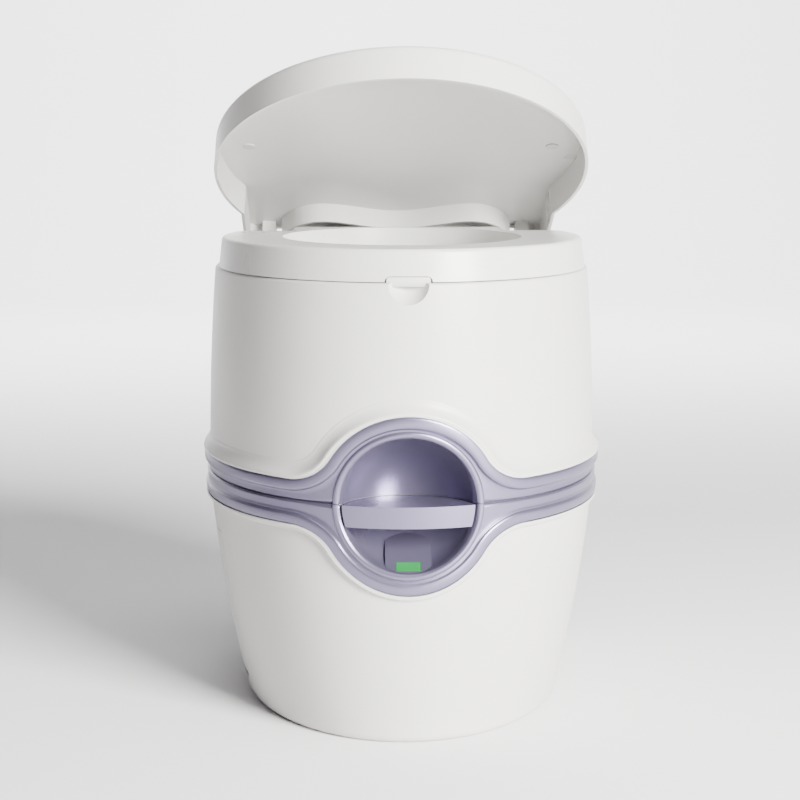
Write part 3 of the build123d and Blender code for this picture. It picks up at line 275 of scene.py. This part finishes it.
def grid_mesh(name, rows, body, material, close_rows=False, flip=False, replaces=(), gaps=()):
    """A smooth skin through rows of points; rows may close on themselves."""
    mesh = bpy.data.meshes.new(name)
    shape = bmesh.new()
    made = [[shape.verts.new(p) for p in row] for row in rows]
    for r in range(len(made) - 1):
        low, high = made[r], made[r + 1]
        last = len(low) if close_rows else len(low) - 1
        for i in range(last):
            j = (i + 1) % len(low)
            corners = [low[i], low[j], high[j], high[i]]
            if flip:
                corners.reverse()
            shape.faces.new(corners)
    bmesh.ops.remove_doubles(shape, verts=shape.verts, dist=1e-6)
    for face in shape.faces:
        face.smooth = True
    for low_x, high_x in gaps:
        cut_at_rear(shape, low_x, high_x)
    shape.to_mesh(mesh)
    shape.free()
    piece = bpy.data.objects.new(name, mesh)
    bpy.context.scene.collection.objects.link(piece)
    mesh.materials.append(material)
    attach(piece, body)
    if replaces:
        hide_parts(*replaces)
    return piece


# ---------------------------------------------------------------- the band's edge as a path
def band_path(upper):
    """Half of the band's edge from the top of the disc round to the rear middle.

    Each step is a function of the distance outside the edge, giving height and plan place."""
    sign = 1 if upper else -1
    edge = band_high_edge if upper else band_low_edge
    rise = abs(edge - parting)
    centre_rise = rise + disc_blend
    centre_x = math.sqrt((disc_radius + disc_blend) ** 2 - centre_rise ** 2)
    turn = math.atan2(centre_rise, centre_x)
    levels = upper_levels if upper else lower_levels
    steps = []

    def on_disc(angle):
        return lambda d, h: front_point(levels, (disc_radius + d) * math.cos(angle),
                                        parting + sign * (disc_radius + d) * math.sin(angle), h)

    def on_blend(angle):
        radius = disc_blend
        return lambda d, h: front_point(levels, centre_x - (radius - d) * math.cos(angle),
                                        parting + sign * (centre_rise - (radius - d) * math.sin(angle)), h)

    def on_level(t):
        return lambda d, h: body_point(levels, t, edge + sign * d, h)

    for i in range(49):
        steps.append(on_disc(math.pi / 2 + (turn - math.pi / 2) * i / 48))
    for i in range(1, 28):
        steps.append(on_blend(turn + (math.pi / 2 - turn) * i / 28))
    wide, _ = plan_size(levels, edge)
    start = math.asin(centre_x / wide) * 2 / math.pi
    for i in range(41):
        steps.append(on_level(start + (1.0 - start) * i / 40))
    for i in range(1, 25):
        steps.append(on_level(1.0 + i / 24))
    for i in range(1, 25):
        steps.append(on_level(2.0 + i / 24))
    for i in range(1, 25):
        steps.append(on_level(3.0 + i / 24))
    return steps


def mirrored(row):
    """The row of the right half, carried round the left half to a closed loop."""
    left = [Vector((-p.x, p.y, p.z)) for p in row[1:-1]]
    return row + list(reversed(left))


def edge_skin(name, upper, profile, body, material, replaces=(), gaps=()):
    """A skin that follows the band's edge all round, with a profile of (distance, height)."""
    steps = band_path(upper)
    rows = [mirrored([step(d * MM, h * MM) for step in steps]) for d, h in profile]
    return grid_mesh(name, rows, body, material, close_rows=True, flip=not upper, replaces=replaces,
                     gaps=gaps)


def flare_profile(height, lip, width, count=10):
    """From the band outwards: a rounded lip, then a hollow curve that runs out into the wall."""
    rows = [(0.0, -1.0), (0.0, height - 1.2), (0.35, height - 0.45), (1.1, height)]
    rows.append((lip, height - 0.25))
    for i in range(1, count + 1):
        k = i / count
        rows.append((lip + (width - lip) * k, (height - 0.25) * (1 - k) ** 2.1 + 0.12))
    rows.append((width + 0.6, -0.4))
    return rows


edge_skin("upper_flare", True, flare_profile(6.5, 2.6, 15.0), "flush_section", tank_white,
          gaps=(spout_gap, latch_gap))
edge_skin("lower_bead", False, flare_profile(4.5, 2.2, 6.0, 6), "waste_section", tank_white)


# ---------------------------------------------------------------- lavender trim and the scoop
def ridge_profile(height):
    """Across the raised ridge, from the white bead inwards, in millimetres."""
    return [(-0.35, -1.4), (-0.35, height - 1.9), (-0.6, height - 0.8), (-1.3, height - 0.2), (-2.6, height),
            (-5.5, height + 0.15), (-8.4, height), (-9.8, height - 0.35), (-10.7, height - 1.2),
            (-11.1, height - 2.4), (-11.5, 1.75), (-12.3, 1.3)]


def trim_skin(name, upper, body, height, replaces, gaps):
    """The trim of one section: ridge, recessed middle and the edge at the parting plane."""
    sign = 1 if upper else -1
    edge = band_high_edge if upper else band_low_edge
    levels = upper_levels if upper else lower_levels
    rise = abs(edge - parting)
    centre_rise = rise + disc_blend
    centre_x = math.sqrt((disc_radius + disc_blend) ** 2 - centre_rise ** 2)
    turn = math.atan2(centre_rise, centre_x)
    steps = band_path(upper)
    rows = [mirrored([step(d * MM, h * MM) for step in steps]) for d, h in ridge_profile(height)]
    start = math.asin(centre_x / plan_size(levels, edge)[0]) * 2 / math.pi
    tops = [step(-0.0123, 0.0) for step in steps]
    feet = []
    for i in range(49):
        angle = math.pi / 2 + (turn - math.pi / 2) * i / 48
        feet.append((scoop_radius * math.cos(angle), scoop_radius * math.sin(angle)))
    arc = scoop_radius * turn
    run = arc + centre_x - scoop_radius
    for i in range(1, 28):
        go = run * i / 28
        if go < arc:
            angle = turn - go / scoop_radius
            feet.append((scoop_radius * math.cos(angle), scoop_radius * math.sin(angle)))
        else:
            feet.append((scoop_radius + go - arc, 0.0))
    seam = 0.0002
    for k in (0.25, 0.5, 0.75, 1.0, 1.0):
        out = -1.6 * MM if len(rows) == len(ridge_profile(height)) + 4 else 1.25 * MM
        row = []
        for i, step in enumerate(steps):
            if i < len(feet):
                x = tops[i].x + (feet[i][0] - tops[i].x) * k
                foot_z = parting + sign * max(feet[i][1], seam)
                row.append(front_point(levels, x, tops[i].z + (foot_z - tops[i].z) * k, out))
            else:
                z = tops[i].z + (parting + sign * seam - tops[i].z) * k
                t = start + (1.0 - start) * (i - len(feet)) / 40
                if i >= len(feet) + 41:
                    t = 1.0 + (i - len(feet) - 40) / 24
                row.append(body_point(levels, t, z, out))
        rows.append(mirrored(row))
    return grid_mesh(name, rows, body, trim_lavender, close_rows=True, flip=not upper,
                     replaces=replaces, gaps=gaps)


def scoop_skin(name, upper, body):
    """Half of the round scoop with the bead round its mouth."""
    sign = 1 if upper else -1
    levels = upper_levels if upper else lower_levels
    bead = [(67.0, 0.6), (66.7, 1.7), (65.9, 2.5), (64.6, 2.9),
            (63.2, 2.8), (62.0, 2.2), (61.3, 1.3), (60.9, 0.3)]
    rows = []
    for radius, height in bead:
        row = []
        for i in range(97):
            angle = math.pi * i / 96
            x = radius * MM * math.cos(angle)
            z = parting + sign * max(radius * MM * math.sin(angle), 0.00015)
            row.append(signed_front_point(levels, x, z, height * MM))
        rows.append(row)
    for k in range(1, 25):
        row = []
        for i in range(97):
            angle = math.pi * i / 96
            reach = scoop_radius
            for _ in range(30):
                x = reach * math.cos(angle)
                z = parting + sign * reach * math.sin(angle)
                deep = -scoop_centre + scoop_depth * math.sqrt(max(0.0, 1 - (reach / scoop_radius) ** 2))
                if deep > signed_front_point(levels, x, z, 0.0003).y:
                    break
                reach -= 0.00025
            lean = math.acos(min(1.0, reach / scoop_radius))
            sweep = lean + (math.pi / 2 - lean) * k / 24
            radius = scoop_radius * math.cos(sweep)
            row.append(Vector((radius * math.cos(angle), -scoop_centre + scoop_depth * math.sin(sweep),
                               parting + sign * max(radius * math.sin(angle), 0.00015))))
        rows.append(row)
    return grid_mesh(name, rows, body, trim_lavender, flip=upper)


trim_skin("upper_trim", True, "flush_section", 5.6, ["upper_band"], (spout_gap, latch_gap))
trim_skin("lower_trim", False, "waste_section", 3.9, ["lower_band"], (latch_gap,))
scoop_skin("upper_scoop", True, "flush_section")
scoop_skin("lower_scoop", False, "waste_section")


# ---------------------------------------------------------------- lip over the finger notch
def finger_lip():
    """Low lip of the upper shell that stands in the seat's cut-out, with a thin gap round it."""
    seat_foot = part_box("seat_ring")[0].z
    half, depth, round_off, set_back = 19.4 * MM, 3.0 * MM, 3.0 * MM, 5.2 * MM
    foot, top = seat_foot - 4.2 * MM, seat_foot + 4.3 * MM
    levels = [(foot, half, depth / 2), (foot, half, 0.0), (top - round_off, half, 0.0)]
    for i in range(1, 9):
        a = math.pi / 2 * i / 8
        levels.append((top - round_off * (1 - math.sin(a)), half - round_off * (1 - math.cos(a)),
                       0.5 * MM * (1 - math.cos(a))))
    levels.append((top, half - round_off, depth / 2))
    rows = []
    for z, wide, inset in levels:
        across = [wide * math.sin(math.pi / 2 * i / 12) for i in range(-12, 13)]
        front = [signed_front_point(upper_levels, x, shoulder, -set_back).y for x in across]
        row = [Vector((x, y + inset, z)) for x, y in zip(across, front)]
        row += [Vector((x, y + depth - inset, z)) for x, y in reversed(list(zip(across, front)))]
        rows.append(row)
    return grid_mesh("finger_lip", rows, "flush_section", tank_white, close_rows=True)


finger_lip()


# ---------------------------------------------------------------- grip ribs on the caps and the knob
def rib_tree():
    """Slim ribs with run-out ends, standing side by side round a circle."""
    tree = bpy.data.node_groups.new("grip_ribs", "GeometryNodeTree")
    for name, kind in (("Count", "Int"), ("Radius", "Float"), ("Width", "Float"), ("Depth", "Float"),
                       ("Length", "Float"), ("Skin", "Material")):
        tree.interface.new_socket(name=name, in_out="INPUT", socket_type="NodeSocket" + kind)
    tree.interface.new_socket(name="Geometry", in_out="OUTPUT", socket_type="NodeSocketGeometry")
    given = add_node(tree, "NodeGroupInput")
    ring = add_node(tree, "GeometryNodeMeshCircle",
                    {"Vertices": (given, "Count"), "Radius": (given, "Radius")})
    spot = add_node(tree, "GeometryNodeInputPosition")
    turn = add_node(tree, "FunctionNodeAlignRotationToVector", {"Vector": (spot, "Position")},
                    axis="X", pivot_axis="Z")
    rib = add_node(tree, "GeometryNodeMeshUVSphere", values={"Segments": 12, "Rings": 10, "Radius": 0.5})
    size = add_node(tree, "ShaderNodeCombineXYZ",
                    {"X": (given, "Depth"), "Y": (given, "Width"), "Z": (given, "Length")})
    shaped = add_node(tree, "GeometryNodeTransform", {"Geometry": (rib, "Mesh"), "Scale": (size, "Vector")})
    smooth = add_node(tree, "GeometryNodeSetShadeSmooth", {"Geometry": (shaped, "Geometry")})
    stand = add_node(tree, "GeometryNodeInstanceOnPoints",
                     {"Points": (ring, "Mesh"), "Instance": (smooth, "Geometry"),
                      "Rotation": (turn, "Rotation")})
    real = add_node(tree, "GeometryNodeRealizeInstances", {"Geometry": (stand, "Instances")})
    coat = add_node(tree, "GeometryNodeSetMaterial",
                    {"Geometry": (real, "Geometry"), "Material": (given, "Skin")})
    add_node(tree, "NodeGroupOutput", {"Geometry": (coat, "Geometry")})
    return tree


def grip_ribs(node, body, tree, length, along_x=False):
    """Ribs round the rim of one round node, as a plain mesh of its body."""
    low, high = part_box(node)
    radius = (high.y - low.y) / 2
    name = node + "_ribs"
    carrier = bpy.data.objects.new(name + "_path", bpy.data.meshes.new(name + "_path"))
    bpy.context.scene.collection.objects.link(carrier)
    maker = carrier.modifiers.new("grip_ribs", "NODES")
    maker.node_group = tree
    keys = {item.name: item.identifier for item in tree.interface.items_tree if item.in_out == "INPUT"}
    sizes = {"Count": rib_count, "Radius": radius - rib_sink, "Width": rib_width, "Depth": rib_depth,
             "Length": length, "Skin": trim_lavender}
    for key, value in sizes.items():
        maker[keys[key]] = value
    mesh = bpy.data.meshes.new_from_object(carrier.evaluated_get(bpy.context.evaluated_depsgraph_get()))
    carrier.modifiers.clear()
    bpy.data.objects.remove(carrier)
    if along_x:
        mesh.transform(Matrix.Rotation(math.pi / 2, 4, "Y"))
    mesh.transform(Matrix.Translation((Vector(low) + Vector(high)) / 2))
    piece = bpy.data.objects.new(name, mesh)
    bpy.context.scene.collection.objects.link(piece)
    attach(piece, body)


rib_count = 36
rib_width = 2.0 * MM
rib_depth = 1.4 * MM
rib_sink = 0.25 * MM
rib_maker = rib_tree()
grip_ribs("fill_cap", "filler", rib_maker, 10.0 * MM)
grip_ribs("pump_knob", "pump", rib_maker, 6.0 * MM)
grip_ribs("spout_cap", "spout_closure", rib_maker, 16.0 * MM, along_x=True)


# ---------------------------------------------------------------- springs that move with their buttons
def coil_spring(node, body):
    """A copy of a spring that moves as one piece with its button, in place of the part."""
    source = frame["nodes"][node]
    mesh = source.data.copy()
    mesh.transform(source.matrix_world)
    piece = bpy.data.objects.new(node + "_coil", mesh)
    bpy.context.scene.collection.objects.link(piece)
    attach(piece, body)
    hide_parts(node)
    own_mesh(piece)


coil_spring("vent_spring", "vent")
coil_spring("pump_spring", "pump")


# ---------------------------------------------------------------- floor, light and camera
def studio_floor():
    """A plain pale floor that curves up into a backdrop far behind."""
    mesh = bpy.data.meshes.new("studio_floor")
    shape = bmesh.new()
    profile = [(-6.0, 0.0), (4.0, 0.0)]
    profile += [(4.0 + 2.0 * math.sin(a), 2.0 - 2.0 * math.cos(a)) for a in
                [math.pi / 2 * i / 24 for i in range(1, 25)]]
    profile.append((6.0, 8.0))
    rows = [[shape.verts.new((x, y, z)) for y, z in profile] for x in (-8.0, 8.0)]
    for i in range(len(profile) - 1):
        shape.faces.new((rows[0][i], rows[1][i], rows[1][i + 1], rows[0][i + 1]))
    for face in shape.faces:
        face.smooth = True
    shape.to_mesh(mesh)
    shape.free()
    floor = bpy.data.objects.new("studio_floor", mesh)
    bpy.context.scene.collection.objects.link(floor)
    paper = bpy.data.materials.new("backdrop_paper_matt_white")
    paper.use_nodes = True
    skin = paper.node_tree.nodes["Principled BSDF"]
    skin.inputs["Base Color"].default_value = hex_linear("#f6f5f6")
    skin.inputs["Roughness"].default_value = 0.9
    skin.inputs["Specular IOR Level"].default_value = 0.1
    mesh.materials.append(paper)


def softbox(name, place, aim, width, height, power, colour):
    """A rectangular studio light looking at a point."""
    lamp = bpy.data.lights.new(name, "AREA")
    lamp.shape = "RECTANGLE"
    lamp.size = width
    lamp.size_y = height
    lamp.energy = power
    lamp.color = hex_linear(colour)[:3]
    holder = bpy.data.objects.new(name, lamp)
    holder.location = place
    holder.rotation_euler = (Vector(aim) - Vector(place)).to_track_quat("-Z", "Y").to_euler()
    bpy.context.scene.collection.objects.link(holder)


studio_floor()
middle = (0.0, 0.0, 0.25)
softbox("key_softbox_right", (1.75, -2.4, 1.25), middle, 1.3, 1.5, 560.0, "#fffefa")
softbox("fill_softbox_left", (-2.6, -1.6, 1.2), middle, 1.6, 2.0, 1.0, "#cfc2dc")
softbox("top_softbox", (0.2, -0.3, 3.0), middle, 1.4, 1.4, 40.0, "#ffffff")
softbox("backdrop_softbox", (0.0, 2.4, 2.6), (0.0, 5.2, 0.9), 4.0, 1.0, 520.0, "#ffffff")

world = bpy.data.worlds.new("studio_air")
bpy.context.scene.world = world
world.use_nodes = True
world.node_tree.nodes["Background"].inputs["Color"].default_value = hex_linear("#d9d0e4")
world.node_tree.nodes["Background"].inputs["Strength"].default_value = 0.06


def studio_camera():
    """Long lens a little above the seat, looking slightly down, a touch left of the front."""
    yaw = math.radians(1.7)
    pitch = math.atan(0.142)
    stand = 1.979
    lens = bpy.data.cameras.new("studio_camera")
    lens.sensor_width = 36.0
    lens.lens = 36.0 * 2.55
    lens.shift_x = -0.0019
    lens.clip_end = 50.0
    holder = bpy.data.objects.new("studio_camera", lens)
    holder.location = (-stand * math.sin(yaw), -stand * math.cos(yaw), 0.5626)
    look = Vector((math.sin(yaw) * math.cos(pitch), math.cos(yaw) * math.cos(pitch), -math.sin(pitch)))
    holder.rotation_euler = look.to_track_quat("-Z", "Y").to_euler()
    bpy.context.scene.collection.objects.link(holder)
    bpy.context.scene.camera = holder


studio_camera()
